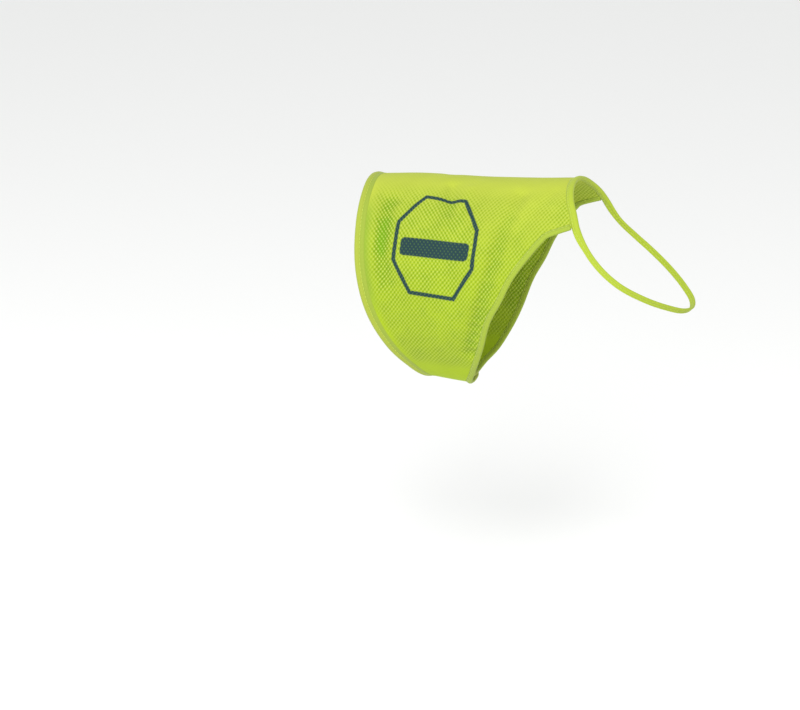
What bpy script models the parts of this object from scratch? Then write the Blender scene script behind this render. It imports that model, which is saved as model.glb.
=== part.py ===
"""Dog safety vest: a bound mesh panel over the back and flanks, a neck strap and a belly closure.

The shape is drawn on a chart that lies on a general, hollow barrel figure. A chart point is
(along, girth): along runs toward the head, girth runs round the body from the spine, positive
on the wearer's right. Lengths in the tables and constants are millimetres.
"""
import math
from collections import namedtuple

import bmesh
import bpy
import numpy as np
from mathutils import Vector

MM = 0.001

# Cloth and tapes
PANEL_THICK = 1.2
TAPE_THICK = 1.0
PATCH_THICK = 1.2
SEAM_GAP = 0.3
HEM_TAPE_WIDTH = 7.5
ARMHOLE_TAPE_WIDTH = 4.0
NECK_TAPE_WIDTH = 5.3

# Belly lap
LAP_HALF = 20.5
LAP_ALONG = -23.0
LAP_CORNER = 12.0
LAP_RISE_START = 200.0
LAP_RISE_END = 225.0
OUTER_END_LIFT = 2.3
INNER_END_DROP = -2.3
PATCH_LENGTH = 23.0
PATCH_WIDTH = 17.0

# Net density
PANEL_COLUMNS = 26
NECK_ROWS = 9
FLANK_ROWS = 35
TAPE_STEP = 6.5
STRAP_STEP = 5.0
BEND_WEIGHT = 14.0
RING_ANGLES = 271
RING_REACH = 1.35 * math.pi

# One row a section of the figure: the spine's height, the depth from spine to breastbone, half the
# width, and how far the widest level sits above the middle.
Section = namedtuple("Section", "along top depth half egg")
FIGURE = (
    Section(-125.0, -7.5, 153.5, 60.0, 0.05),
    Section(-60.0, -1.0, 170.0, 67.0, 0.05),
    Section(0.0, 0.6, 177.0, 69.0, 0.05),
    Section(60.0, 4.4, 181.0, 68.0, 0.05),
    Section(115.0, 10.4, 182.0, 60.0, 0.05),
)

# Cut edges of the panel on one side; the other side mirrors them.
Edge = namedtuple("Edge", "girth along")
HEM_EDGE = (
    Edge(0.0, -98.0),
    Edge(30.0, -96.4),
    Edge(60.0, -94.6),
    Edge(105.0, -90.0),
    Edge(140.0, -81.8),
    Edge(175.0, -68.0),
    Edge(205.0, -53.8),
    Edge(228.0, -44.0),
    Edge(250.0, -41.0),
    Edge(275.0, -40.5),
)
NECK_EDGE = (
    Edge(0.0, 83.0),
    Edge(20.0, 84.6),
    Edge(35.0, 88.3),
    Edge(46.5, 92.9),
    Edge(57.6, 96.9),
)
ARMHOLE_EDGE = (
    Edge(57.6, 96.9),
    Edge(59.2, 93.0),
    Edge(63.3, 82.6),
    Edge(67.2, 73.6),
    Edge(73.0, 68.0),
    Edge(82.6, 61.0),
    Edge(105.6, 45.8),
    Edge(125.0, 36.6),
    Edge(140.0, 28.4),
    Edge(171.0, 18.4),
    Edge(206.0, 5.4),
    Edge(228.0, -2.7),
    Edge(250.0, -5.0),
    Edge(275.0, -5.5),
)

# The strap's front edge from the right corner of the neckline to the middle of the chest
Strap = namedtuple("Strap", "along across height")
STRAP_LINE = (
    Strap(108.5, -53.0, -40.0),
    Strap(122.0, -57.0, -53.5),
    Strap(134.0, -57.0, -63.0),
    Strap(156.0, -46.5, -77.5),
    Strap(171.2, -32.4, -86.8),
    Strap(181.6, -17.6, -93.1),
    Strap(185.4, 0.0, -95.4),
)
NECK_AXIS = Vector((0.72, 0.0, 0.69))
STRAP_TURN = 70.0
STRAP_CLOSE_START = 1.5
STRAP_CLOSE_END = 14.0
STRAP_WIDTH = 3.9
STRAP_NARROW_START = 6.0
STRAP_NARROW_END = 24.0

# Soft folds: side is +1 on the wearer's right, and a fold bends at its middle point.
Fold = namedtuple("Fold", "side start middle end width height")
FOLDS = (
    Fold(1, (-69.0, 40.0), (-71.0, 76.0), (-62.5, 112.0), 8.5, -3.3),
    Fold(1, (52.0, 26.0), (35.0, 84.0), (9.0, 172.0), 10.0, -2.8),
    Fold(1, (-21.0, 18.0), (-17.5, 33.0), (-15.0, 48.0), 6.5, -2.0),
    Fold(-1, (-66.0, 44.0), (-71.0, 80.0), (-66.0, 120.0), 10.0, -1.9),
    Fold(-1, (56.0, 34.0), (32.0, 88.0), (12.0, 160.0), 9.0, -2.5),
)


def clear_scene():
    for item in list(bpy.data.objects):
        bpy.data.objects.remove(item, do_unlink=True)


def smooth_step(low, high, value):
    part = np.clip((value - low) / (high - low), 0.0, 1.0)
    return part * part * (3.0 - 2.0 * part)


def smooth_curve(knots, values, at):
    """Cubic curve through the knots, with slopes from their neighbours."""
    knots = np.asarray(knots)
    values = np.asarray(values)
    slopes = np.gradient(values, knots)
    place = np.clip(np.searchsorted(knots, at) - 1, 0, len(knots) - 2)
    span = knots[place + 1] - knots[place]
    part = (at - knots[place]) / span
    rise = part * part * (3.0 - 2.0 * part)
    leave = part * (1.0 - part) ** 2
    arrive = part * part * (part - 1.0)
    blend = values[place] * (1.0 - rise) + values[place + 1] * rise
    return blend + span * (leave * slopes[place] + arrive * slopes[place + 1])


# ---- the figure ----

def section_value(column, along):
    knots = [row.along for row in FIGURE]
    return smooth_curve(knots, [getattr(row, column) for row in FIGURE], along)


def ring_point(along, angle):
    """Point of the figure at an angle from the spine, and its outward direction in the section."""
    half = section_value("half", along)
    deep = section_value("depth", along) / 2.0
    egg = section_value("egg", along)
    across = half * np.sin(angle) * (1.0 + egg * np.cos(angle))
    height = section_value("top", along) - deep + deep * np.cos(angle)
    turn_across = half * (np.cos(angle) + egg * np.cos(2.0 * angle))
    turn_height = -deep * np.sin(angle)
    size = np.hypot(turn_across, turn_height)
    flat = np.zeros_like(across)
    point = np.stack([along + flat, -across, height], axis=-1)
    outward = np.stack([flat, turn_height / size, turn_across / size], axis=-1)
    return point, outward


def ring_angle(along, girth):
    """Angle from the spine that lies a length girth round the section."""
    angles = np.linspace(0.0, RING_REACH, RING_ANGLES)
    points, _ = ring_point(along[:, None], angles[None, :])
    steps = np.linalg.norm(np.diff(points, axis=1), axis=2)
    walked = np.concatenate([np.zeros((len(along), 1)), np.cumsum(steps, axis=1)], axis=1)
    wanted = np.abs(girth)
    place = np.clip((walked < wanted[:, None]).sum(axis=1) - 1, 0, RING_ANGLES - 2)
    rows = np.arange(len(along))
    before = walked[rows, place]
    part = (wanted - before) / (walked[rows, place + 1] - before)
    return np.sign(girth) * (angles[place] + part * (angles[1] - angles[0]))


def half_girth(along):
    angles = np.linspace(0.0, math.pi, RING_ANGLES)
    points, _ = ring_point(np.full(RING_ANGLES, along), angles)
    return float(np.linalg.norm(np.diff(points, axis=0), axis=1).sum())


LAP_END = half_girth(LAP_ALONG) + LAP_HALF
TAPE_JOINT = LAP_END - 2.0 * LAP_CORNER


# ---- the cloth ----

def fold_height(fold, along, girth):
    """Height of one fold: a soft channel along an arc through its three points."""
    steps = np.linspace(0.0, 1.0, 25)[:, None]
    start, middle, end = (np.array(point) for point in (fold.start, fold.middle, fold.end))
    bend = 2.0 * middle - 0.5 * (start + end)
    line = (1.0 - steps) ** 2 * start + 2.0 * steps * (1.0 - steps) * bend + steps ** 2 * end
    spread = np.stack([along, fold.side * girth], axis=-1)[:, None, :] - line[None, :, :]
    nearest = np.linalg.norm(spread, axis=2).min(axis=1)
    return fold.height * np.exp(-(nearest / fold.width) ** 2)


def relief(along, girth):
    """How far the cloth stands off the figure: its folds, and the lap under the belly."""
    height = np.zeros_like(along)
    for fold in FOLDS:
        height = height + fold_height(fold, along, girth)
    lap = smooth_step(LAP_RISE_START, LAP_RISE_END, np.abs(girth))
    return height + lap * np.where(girth > 0.0, OUTER_END_LIFT, INNER_END_DROP)


def cloth_middle(along, girth):
    point, outward = ring_point(along, ring_angle(along, girth))
    return point + outward * relief(along, girth)[:, None]


def cloth_point(chart, raised=0.0):
    """Points over chart positions, a length raised outside the middle of the panel's wall."""
    along, girth = np.asarray(chart, dtype=float).T
    reach = 0.5
    middle = cloth_middle(along, girth)
    ahead = cloth_middle(along + reach, girth) - cloth_middle(along - reach, girth)
    around = cloth_middle(along, girth + reach) - cloth_middle(along, girth - reach)
    normal = np.cross(around, ahead)
    normal /= np.linalg.norm(normal, axis=1)[:, None]
    return middle + normal * np.broadcast_to(raised, len(along))[:, None], normal


def edge_curve(rows, girth):
    """Chart points of a cut edge; the belly end is rounded off toward the lap's middle."""
    knots = [-rows[1].girth] + [row.girth for row in rows]
    values = [rows[1].along] + [row.along for row in rows]
    if rows[0].girth > 0.0:
        knots, values = knots[1:], values[1:]
    along = smooth_curve(knots, values, np.abs(girth))
    into = np.clip(np.abs(girth) - (LAP_END - LAP_CORNER), 0.0, LAP_CORNER)
    cut = LAP_CORNER - np.sqrt(LAP_CORNER ** 2 - into ** 2)
    return np.stack([along + np.sign(LAP_ALONG - along) * cut, girth], axis=-1)


def fine_girths(first, last):
    """Girths that crowd toward the last one, where a cut edge may turn across the lap."""
    return first + (last - first) * np.sin(np.linspace(0.0, math.pi / 2.0, 600))


def spaced(path, step=None, count=None):
    """Points along a fine path, closer together where it bends, with their inward directions."""
    steps = np.diff(path, axis=0)
    lengths = np.linalg.norm(steps, axis=1)
    keep = np.append(lengths > 1e-6, True)
    path = path[keep]
    steps = np.diff(path, axis=0)
    lengths = np.linalg.norm(steps, axis=1)
    headings = np.unwrap(np.arctan2(steps[:, 1], steps[:, 0]))
    turns = np.abs(np.diff(headings, prepend=headings[0]))
    walked = np.concatenate([[0.0], np.cumsum(lengths + BEND_WEIGHT * turns)])
    count = count or max(1, round(walked[-1] / step))
    even = np.linspace(0.0, walked[-1], count + 1)
    points = np.stack([np.interp(even, walked, path[:, axis]) for axis in (0, 1)], axis=-1)
    middles = 0.5 * (walked[1:] + walked[:-1])
    heading = np.interp(even, middles, headings)
    return points, np.stack([-np.sin(heading), np.cos(heading)], axis=-1)


def half_edges():
    """Chart points of the hem and of the front edge on the right, row by row from the spine."""
    corner = NECK_EDGE[-1].girth
    back = np.linspace(0.0, corner, NECK_ROWS + 1)
    flank = fine_girths(corner, LAP_END)
    hem, _ = spaced(edge_curve(HEM_EDGE, flank), count=FLANK_ROWS)
    armhole, _ = spaced(edge_curve(ARMHOLE_EDGE, flank), count=FLANK_ROWS)
    hem = np.vstack([edge_curve(HEM_EDGE, back), hem[1:]])
    return hem, np.vstack([edge_curve(NECK_EDGE, back), armhole[1:]])


def on_side(chart, side):
    return chart * np.array([1.0, side])


# ---- Blender objects ----

def make_material(name, color, roughness):
    material = bpy.data.materials.new(name)
    material.use_nodes = True
    shader = material.node_tree.nodes["Principled BSDF"]
    shader.inputs["Base Color"].default_value = (*color, 1.0)
    shader.inputs["Roughness"].default_value = roughness
    shader.inputs["Metallic"].default_value = 0.0
    return material


def make_wall(name, net, thickness, material, mirrored=False):
    """A grid bent to the net's points, net[row, column], and given a wall's thickness."""
    rows, columns = net.shape[:2]
    form = bmesh.new()
    bmesh.ops.create_grid(form, x_segments=columns - 1, y_segments=rows - 1, size=0.5)
    for vertex in form.verts:
        column = round((vertex.co.x + 0.5) * (columns - 1))
        row = round((vertex.co.y + 0.5) * (rows - 1))
        vertex.co = Vector(net[row, column]) * MM
    for face in form.faces:
        face.smooth = True
    mesh = bpy.data.meshes.new(name)
    form.to_mesh(mesh)
    form.free()
    mesh.materials.append(material)
    piece = bpy.data.objects.new(name, mesh)
    VEST.objects.link(piece)
    if mirrored:
        mirror = piece.modifiers.new("other half", "MIRROR")
        mirror.use_axis = (False, True, False)
        mirror.merge_threshold = 0.0001
    wall = piece.modifiers.new("wall", "SOLIDIFY")
    wall.thickness = thickness * MM
    wall.offset = 0.0
    wall.use_even_offset = True
    return piece


def main_panel(material):
    hem, front = half_edges()
    hem = np.vstack([on_side(hem[:0:-1], -1), hem])
    front = np.vstack([on_side(front[:0:-1], -1), front])
    across = np.linspace(0.0, 1.0, PANEL_COLUMNS + 1)[None, :, None]
    chart = hem[:, None, :] * (1.0 - across) + front[:, None, :] * across
    points, _ = cloth_point(chart.reshape(-1, 2))
    net = points.reshape(*chart.shape[:2], 3)
    make_wall("main_panel", net, PANEL_THICK, material)


def fold_profile(width, half_open, web):
    """Folded tape in section: (inward from the cut edge, raised off the cloth's middle)."""
    upper = [(width, half_open), (width / 2.0, half_open), (-web, half_open)]
    return upper + [(inward, -raised) for inward, raised in reversed(upper)]


def bound_edge(path, inward, width):
    """Net of a tape folded over the panel's edge along a chart path."""
    half_open = PANEL_THICK / 2.0 + SEAM_GAP + TAPE_THICK / 2.0
    web = SEAM_GAP + TAPE_THICK / 2.0
    columns = []
    for depth, raised in fold_profile(width, half_open, web):
        points, _ = cloth_point(path + inward * depth, raised)
        columns.append(points)
    return np.stack(columns, axis=1)


def hem_path():
    """Round the whole hem, from the front edge of the right belly end to that of the left one."""
    lap = edge_curve(ARMHOLE_EDGE, fine_girths(TAPE_JOINT, LAP_END))
    hem = edge_curve(HEM_EDGE, fine_girths(0.0, LAP_END))
    half = np.vstack([lap, hem[::-1]])
    return np.vstack([half, on_side(half[::-1], -1)[1:]])


def armhole_path():
    """Down the right armhole from the neck tape to the joint with the hem binding."""
    path = edge_curve(ARMHOLE_EDGE, np.linspace(NECK_EDGE[-1].girth, TAPE_JOINT - SEAM_GAP, 900))
    clear = NECK_TAPE_WIDTH + 2.0 * SEAM_GAP
    return path[np.linalg.norm(path - path[0], axis=1) > clear]


def bindings(material):
    points, inward = spaced(hem_path(), step=TAPE_STEP)
    net = bound_edge(points, inward, HEM_TAPE_WIDTH)
    make_wall("hem_binding", net, TAPE_THICK, material)
    points, inward = spaced(armhole_path(), step=TAPE_STEP)
    for side, word in ((1, "right"), (-1, "left")):
        net = bound_edge(on_side(points, side), on_side(inward, side), ARMHOLE_TAPE_WIDTH)
        make_wall("armhole_binding_" + word, net, TAPE_THICK, material)


def unit(vectors):
    return vectors / np.linalg.norm(vectors, axis=-1)[..., None]


def strap_line(before, corner):
    """Front edge of the strap, evenly spaced, from the neckline's corner to the chest."""
    rows = [np.array(row) for row in STRAP_LINE]
    beyond = rows[-2] * np.array([1.0, -1.0, 1.0])
    through = np.array([before, corner, *rows, beyond])
    knots = np.concatenate([[0.0], np.cumsum(np.linalg.norm(np.diff(through, axis=0), axis=1))])
    start, end = knots[1], knots[-2]
    at = np.linspace(start, end, round((end - start) / STRAP_STEP) + 1)
    line = np.stack([smooth_curve(knots, through[:, axis], at) for axis in range(3)], axis=-1)
    return line, at - start


def neck_tape(material):
    """Half of the tape: folded over the neckline, then closed up on itself as the strap."""
    corner = NECK_EDGE[-1].girth
    points, inward = spaced(edge_curve(NECK_EDGE, np.linspace(0.0, corner, 300)), step=TAPE_STEP)
    bound = bound_edge(points, inward, NECK_TAPE_WIDTH)
    edge, normal = cloth_point(points)
    deep, _ = cloth_point(points + inward)
    line, walked = strap_line(edge[-2], edge[-1])
    ahead = unit(np.gradient(line, walked, axis=0))
    ahead[-1] = (0.0, 1.0, 0.0)
    turn = smooth_step(0.0, STRAP_TURN, walked)[:, None]
    toward_body = (1.0 - turn) * unit(deep - edge)[-1] - turn * np.array(NECK_AXIS)
    toward_body -= ahead * (toward_body * ahead).sum(axis=1)[:, None]
    toward_body = unit(toward_body)
    outward = np.cross(toward_body, ahead)
    bound_open = PANEL_THICK / 2.0 + SEAM_GAP + TAPE_THICK / 2.0
    strap_open = (TAPE_THICK + SEAM_GAP) / 2.0
    closing = smooth_step(STRAP_CLOSE_START, STRAP_CLOSE_END, walked)
    half_open = bound_open + (strap_open - bound_open) * closing
    narrowed = smooth_step(STRAP_NARROW_START, STRAP_NARROW_END, walked)
    width = NECK_TAPE_WIDTH + (STRAP_WIDTH - NECK_TAPE_WIDTH) * narrowed
    web = SEAM_GAP + TAPE_THICK / 2.0
    columns = []
    for depth, raised in fold_profile(width, 1.0, web):
        depth = np.broadcast_to(depth, len(line))
        columns.append(line + toward_body * depth[:, None] + outward * (half_open * raised)[:, None])
    net = np.vstack([bound, np.stack(columns, axis=1)[1:]])
    net[0, :, 1] = 0.0
    net[-1, :, 1] = 0.0
    make_wall("neck_tape", net, TAPE_THICK, material, mirrored=True)


def belly_patches(loop_material, hook_material):
    """The closure's halves: loop outside the inner, left belly end and hook inside the right."""
    along = LAP_ALONG + np.linspace(-0.5, 0.5, 7) * PATCH_WIDTH
    girth = LAP_END - LAP_HALF + np.linspace(-0.5, 0.5, 7) * PATCH_LENGTH
    chart = np.stack(np.meshgrid(along, girth), axis=-1)
    raised = (PANEL_THICK + PATCH_THICK) / 2.0 + SEAM_GAP
    for name, side, material in (
        ("belly_loop_patch", -1, loop_material),
        ("belly_hook_patch", 1, hook_material),
    ):
        points, _ = cloth_point(on_side(chart.reshape(-1, 2), side), -side * raised)
        make_wall(name, points.reshape(*chart.shape[:2], 3), PATCH_THICK, material)


clear_scene()
VEST = bpy.data.collections.new("dog_safety_vest")
bpy.context.scene.collection.children.link(VEST)
yellow_mesh = make_material("yellow mesh knit", (0.46, 0.66, 0.06), 0.85)
yellow_tape = make_material("yellow binding tape", (0.55, 0.70, 0.08), 0.8)
yellow_loop = make_material("yellow loop pile", (0.46, 0.62, 0.07), 0.95)
yellow_hook = make_material("yellow hook tape", (0.42, 0.60, 0.06), 0.6)
main_panel(yellow_mesh)
bindings(yellow_tape)
neck_tape(yellow_tape)
belly_patches(yellow_loop, yellow_hook)
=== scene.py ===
# Dog safety vest: fluorescent mesh knit, bound edges, folded neck strap and belly closure.
import math

import bmesh
import bpy
import numpy as np
from mathutils import Matrix, Vector


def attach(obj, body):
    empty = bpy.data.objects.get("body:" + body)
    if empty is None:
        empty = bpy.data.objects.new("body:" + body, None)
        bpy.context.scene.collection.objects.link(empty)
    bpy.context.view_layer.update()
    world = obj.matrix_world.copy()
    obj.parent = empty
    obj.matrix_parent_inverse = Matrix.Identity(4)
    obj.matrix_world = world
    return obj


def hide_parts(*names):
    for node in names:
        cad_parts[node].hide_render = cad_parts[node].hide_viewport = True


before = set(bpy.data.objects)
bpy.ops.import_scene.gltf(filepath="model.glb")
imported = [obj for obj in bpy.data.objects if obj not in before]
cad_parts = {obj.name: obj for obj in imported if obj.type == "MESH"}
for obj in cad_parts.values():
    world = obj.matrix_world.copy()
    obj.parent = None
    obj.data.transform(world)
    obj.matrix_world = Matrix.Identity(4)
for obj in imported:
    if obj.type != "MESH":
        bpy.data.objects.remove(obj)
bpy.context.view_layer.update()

mm = 0.001

# The camera sees the vest from the photograph's side and was fitted to its outline.
cameraSetup = {
    "azimuth": 18.0,         # degrees
    "elevation": 18.0,
    "distance": 2.7,         # metres from the frame's origin
    "pixelsPerMm": 1.18,     # at that distance, in an image of imageSize
    "originPixel": (482.0, 179.5),
    "imageSize": (800.0, 710.0),
    "sensor": 36.0,          # mm
    "farthest": 50.0,        # metres
}


def makeCamera(setup):
    azimuth = math.radians(setup["azimuth"])
    elevation = math.radians(setup["elevation"])
    back = Vector((
        math.sin(azimuth) * math.cos(elevation),
        -math.cos(azimuth) * math.cos(elevation),
        math.sin(elevation),
    ))
    right = Vector((math.cos(azimuth), math.sin(azimuth), 0.0))
    up = back.cross(right)
    width, height = setup["imageSize"]
    focus = setup["pixelsPerMm"] * setup["distance"] / mm      # focal length in pixels
    toOrigin = (
        -back * focus
        + right * (setup["originPixel"][0] - width / 2)
        + up * (height / 2 - setup["originPixel"][1])
    )
    data = bpy.data.cameras.new("camera")
    data.sensor_width = setup["sensor"]
    data.lens = focus / width * setup["sensor"]
    data.clip_end = setup["farthest"]
    camera = bpy.data.objects.new("camera", data)
    turn = Matrix((right, up, back)).transposed().to_4x4()
    camera.matrix_world = Matrix.Translation(-toOrigin * (setup["distance"] / focus)) @ turn
    bpy.context.scene.collection.objects.link(camera)
    bpy.context.scene.camera = camera


makeCamera(cameraSetup)
print("camera set")


def hexColor(code):
    # sRGB hex to linear
    parts = [int(code[place:place + 2], 16) / 255.0 for place in (1, 3, 5)]
    linear = [c / 12.92 if c <= 0.04045 else ((c + 0.055) / 1.055) ** 2.4 for c in parts]
    return (*linear, 1.0)


def feed(tree, node, inputs):
    # inputs in order or by name: each a plain value, a socket, or a node whose first output is meant
    sockets = [socket for socket in node.inputs if socket.enabled]
    if isinstance(inputs, dict):
        named = {socket.name: socket for socket in sockets}
        sockets = [named[name] for name in inputs]
        inputs = inputs.values()
    for socket, value in zip(sockets, inputs):
        if isinstance(value, bpy.types.Node):
            value = [output for output in value.outputs if output.enabled][0]
        if isinstance(value, bpy.types.NodeSocket):
            tree.links.new(value, socket)
        else:
            socket.default_value = value


def addNode(tree, kind, inputs=(), **settings):
    # one node with its settings and links
    node = tree.nodes.new(kind)
    for name, value in settings.items():
        setattr(node, name, value)
    feed(tree, node, inputs)
    return node


def smoothStep(low, high, value):
    part = np.clip((value - low) / (high - low), 0.0, 1.0)
    return part * part * (3.0 - 2.0 * part)


def smoothCurve(knots, values, at):
    # cubic through the knots, slopes from their neighbours
    knots = np.asarray(knots)
    values = np.asarray(values)
    slopes = np.gradient(values, knots)
    place = np.clip(np.searchsorted(knots, at) - 1, 0, len(knots) - 2)
    span = knots[place + 1] - knots[place]
    part = (at - knots[place]) / span
    rise = part * part * (3.0 - 2.0 * part)
    leave = part * (1.0 - part) ** 2
    arrive = part * part * (part - 1.0)
    blend = values[place] * (1.0 - rise) + values[place + 1] * rise
    return blend + span * (leave * slopes[place] + arrive * slopes[place + 1])


def unit(vectors):
    return vectors / np.linalg.norm(vectors, axis=-1)[..., None]


# The cloth lies on a general figure, in millimetres as in the solids. A chart point is
# (along, girth): along toward the head, girth round from the spine, + on the right.
figure = {
    "along": (-125.0, -60.0, 0.0, 60.0, 115.0),
    "top": (-7.5, -1.0, 0.6, 4.4, 10.4),             # height of the spine
    "depth": (153.5, 170.0, 177.0, 181.0, 182.0),
    "half": (60.0, 67.0, 69.0, 68.0, 60.0),          # half of the width
    "egg": 0.05,             # how much wider it is above its middle
    "angles": 141,           # steps that measure the way round, as far as reach, and half round
    "reach": 1.35 * math.pi,
    "halfAngles": 271,
}

# Edges of the flat cut: rows of (girth, along).
cut = {
    "hem": ((0.0, -98.0), (30.0, -96.4), (60.0, -94.6), (105.0, -90.0), (140.0, -81.8),
            (175.0, -68.0), (205.0, -53.8), (228.0, -44.0), (250.0, -41.0), (275.0, -40.5)),
    "neck": ((0.0, 83.0), (20.0, 84.6), (35.0, 88.3), (46.5, 92.9), (57.6, 96.9)),
    "armhole": ((57.6, 96.9), (59.2, 93.0), (63.3, 82.6), (67.2, 73.6), (73.0, 68.0),
                (82.6, 61.0), (105.6, 45.8), (125.0, 36.6), (140.0, 28.4), (171.0, 18.4),
                (206.0, 5.4), (228.0, -2.7), (250.0, -5.0), (275.0, -5.5)),
    "lapAlong": -23.0,       # middle of the lapped belly ends
    "lapHalf": 20.5,         # how far each goes past the belly's middle
    "lapCorner": 12.0,       # radius of their round ends
    "lapRise": (200.0, 225.0),       # girth over which they part
    "outerLift": 2.3,
    "innerDrop": -2.3,
}

# Soft creases, in mm: side +1 is the right flank, and the line is an arc through
# three chart points. The first three and their like on the left are the solids' own folds.
creases = (
    {"side": 1, "line": ((-68.0, 40.0), (-71.0, 76.0), (-64.0, 110.0)), "width": 7.4, "height": -3.4},
    {"side": 1, "line": ((42.0, 28.0), (30.5, 84.0), (8.0, 176.0)), "width": 7.0, "height": -3.1},
    {"side": 1, "line": ((-21.0, 18.0), (-17.5, 33.0), (-15.0, 48.0)), "width": 5.5, "height": -2.6},
    {"side": 1, "line": ((-4.0, 20.0), (-6.0, 32.0), (-9.0, 44.0)), "width": 4.5, "height": 0.8},
    {"side": 1, "line": ((70.0, 24.0), (58.0, 48.0), (47.0, 76.0)), "width": 6.0, "height": -1.0},
    {"side": 1, "line": ((21.0, 60.0), (22.0, 92.0), (12.0, 128.0)), "width": 7.0, "height": 0.9},
    {"side": 1, "line": ((-48.0, 132.0), (-38.0, 156.0), (-22.0, 178.0)), "width": 9.0, "height": -0.5},
    {"side": 1, "line": ((-80.0, 52.0), (-79.5, 84.0), (-73.0, 126.0)), "width": 4.0, "height": 0.6},
    {"side": -1, "line": ((-66.0, 40.0), (-71.0, 80.0), (-66.0, 124.0)), "width": 9.5, "height": -2.1},
    {"side": -1, "line": ((58.0, 30.0), (32.0, 88.0), (12.0, 164.0)), "width": 8.5, "height": -2.6},
    {"side": -1, "line": ((-30.0, 18.0), (-25.0, 34.0), (-26.0, 50.0)), "width": 5.0, "height": -1.1},
    {"side": -1, "line": ((18.0, 52.0), (24.0, 90.0), (10.0, 136.0)), "width": 7.5, "height": 0.8},
    {"side": -1, "line": ((-52.0, 128.0), (-34.0, 158.0), (-20.0, 186.0)), "width": 8.0, "height": -1.0},
    {"side": -1, "line": ((-85.0, 52.0), (-83.0, 94.0), (-74.0, 138.0)), "width": 5.5, "height": 0.7},
)

# Slight unevenness of a soft cloth: lengths and heights in mm, shifts and sway in radians.
ease = {
    "longAlong": 17.0, "longGirth": 29.0, "longShift": 0.7, "sway": 1.3, "swayGirth": 41.0,
    "shortAlong": 9.0, "shortGirth": 13.0, "shortShift": 0.5, "drift": 23.0,
    "longHeight": 0.22, "shortHeight": 0.1,
}


def ringPoint(along, angle):
    # point on the figure and the way out of it
    half = smoothCurve(figure["along"], figure["half"], along)
    deep = smoothCurve(figure["along"], figure["depth"], along) / 2.0
    top = smoothCurve(figure["along"], figure["top"], along)
    egg = figure["egg"]
    across = half * np.sin(angle) * (1.0 + egg * np.cos(angle))
    height = top - deep + deep * np.cos(angle)
    turnAcross = half * (np.cos(angle) + egg * np.cos(2.0 * angle))
    turnHeight = -deep * np.sin(angle)
    size = np.hypot(turnAcross, turnHeight)
    flat = np.zeros_like(across)
    point = np.stack([along + flat, -across, height], axis=-1)
    return point, np.stack([flat, turnHeight / size, turnAcross / size], axis=-1)


def ringAngle(along, girth):
    # the angle at which the arc from the spine is as long as the girth
    angles = np.linspace(0.0, figure["reach"], figure["angles"])
    points, _ = ringPoint(along[:, None], angles[None, :])
    steps = np.linalg.norm(np.diff(points, axis=1), axis=2)
    walked = np.concatenate([np.zeros((len(along), 1)), np.cumsum(steps, axis=1)], axis=1)
    wanted = np.abs(girth)
    place = np.clip((walked < wanted[:, None]).sum(axis=1) - 1, 0, len(angles) - 2)
    rows = np.arange(len(along))
    part = (wanted - walked[rows, place]) / (walked[rows, place + 1] - walked[rows, place])
    return np.sign(girth) * (angles[place] + part * (angles[1] - angles[0]))


def halfGirth(along):
    angles = np.linspace(0.0, math.pi, figure["halfAngles"])
    points, _ = ringPoint(np.full_like(angles, along), angles)
    return float(np.linalg.norm(np.diff(points, axis=0), axis=1).sum())


lapEnd = halfGirth(cut["lapAlong"]) + cut["lapHalf"]
tapeJoint = lapEnd - 2.0 * cut["lapCorner"]    # girth where the hem's tape meets the armhole's
neckCorner = cut["neck"][-1][0]


def creaseHeight(crease, along, girth, points=25):
    # a soft round-bottomed channel or ridge along the arc
    steps = np.linspace(0.0, 1.0, points)[:, None]
    start, middle, end = (np.array(point) for point in crease["line"])
    bend = 2.0 * middle - 0.5 * (start + end)
    line = (1.0 - steps) ** 2 * start + 2.0 * steps * (1.0 - steps) * bend + steps ** 2 * end
    spread = np.stack([along, crease["side"] * girth], axis=-1)[:, None, :] - line[None, :, :]
    nearest = np.linalg.norm(spread, axis=2).min(axis=1)
    return crease["height"] * np.exp(-(nearest / crease["width"]) ** 2)


def easeWave(along, girth):
    swayed = along / ease["longAlong"] + ease["sway"] * np.sin(girth / ease["swayGirth"])
    long = np.sin(swayed) * np.sin(girth / ease["longGirth"] + ease["longShift"])
    drifted = girth / ease["shortGirth"] + along / ease["drift"]
    short = np.sin(along / ease["shortAlong"] + ease["shortShift"]) * np.sin(drifted)
    return ease["longHeight"] * long + ease["shortHeight"] * short


def relief(along, girth):
    # height off the figure; under the belly the right end laps outside the left one
    height = easeWave(along, girth)
    for crease in creases:
        height = height + creaseHeight(crease, along, girth)
    lap = smoothStep(*cut["lapRise"], np.abs(girth))
    return height * (1.0 - lap) + lap * np.where(girth > 0.0, cut["outerLift"], cut["innerDrop"])


def clothMiddle(along, girth):
    point, outward = ringPoint(along, ringAngle(along, girth))
    return point + outward * relief(along, girth)[:, None]


def clothPoint(chart, raised=0.0, reach=0.5):
    # place and normal on the middle of the cloth; the normal comes from neighbours within reach
    along, girth = np.asarray(chart, dtype=float).T
    middle = clothMiddle(along, girth)
    ahead = clothMiddle(along + reach, girth) - clothMiddle(along - reach, girth)
    around = clothMiddle(along, girth + reach) - clothMiddle(along, girth - reach)
    normal = unit(np.cross(around, ahead))
    return middle + normal * np.broadcast_to(raised, len(along))[:, None], normal


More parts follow.
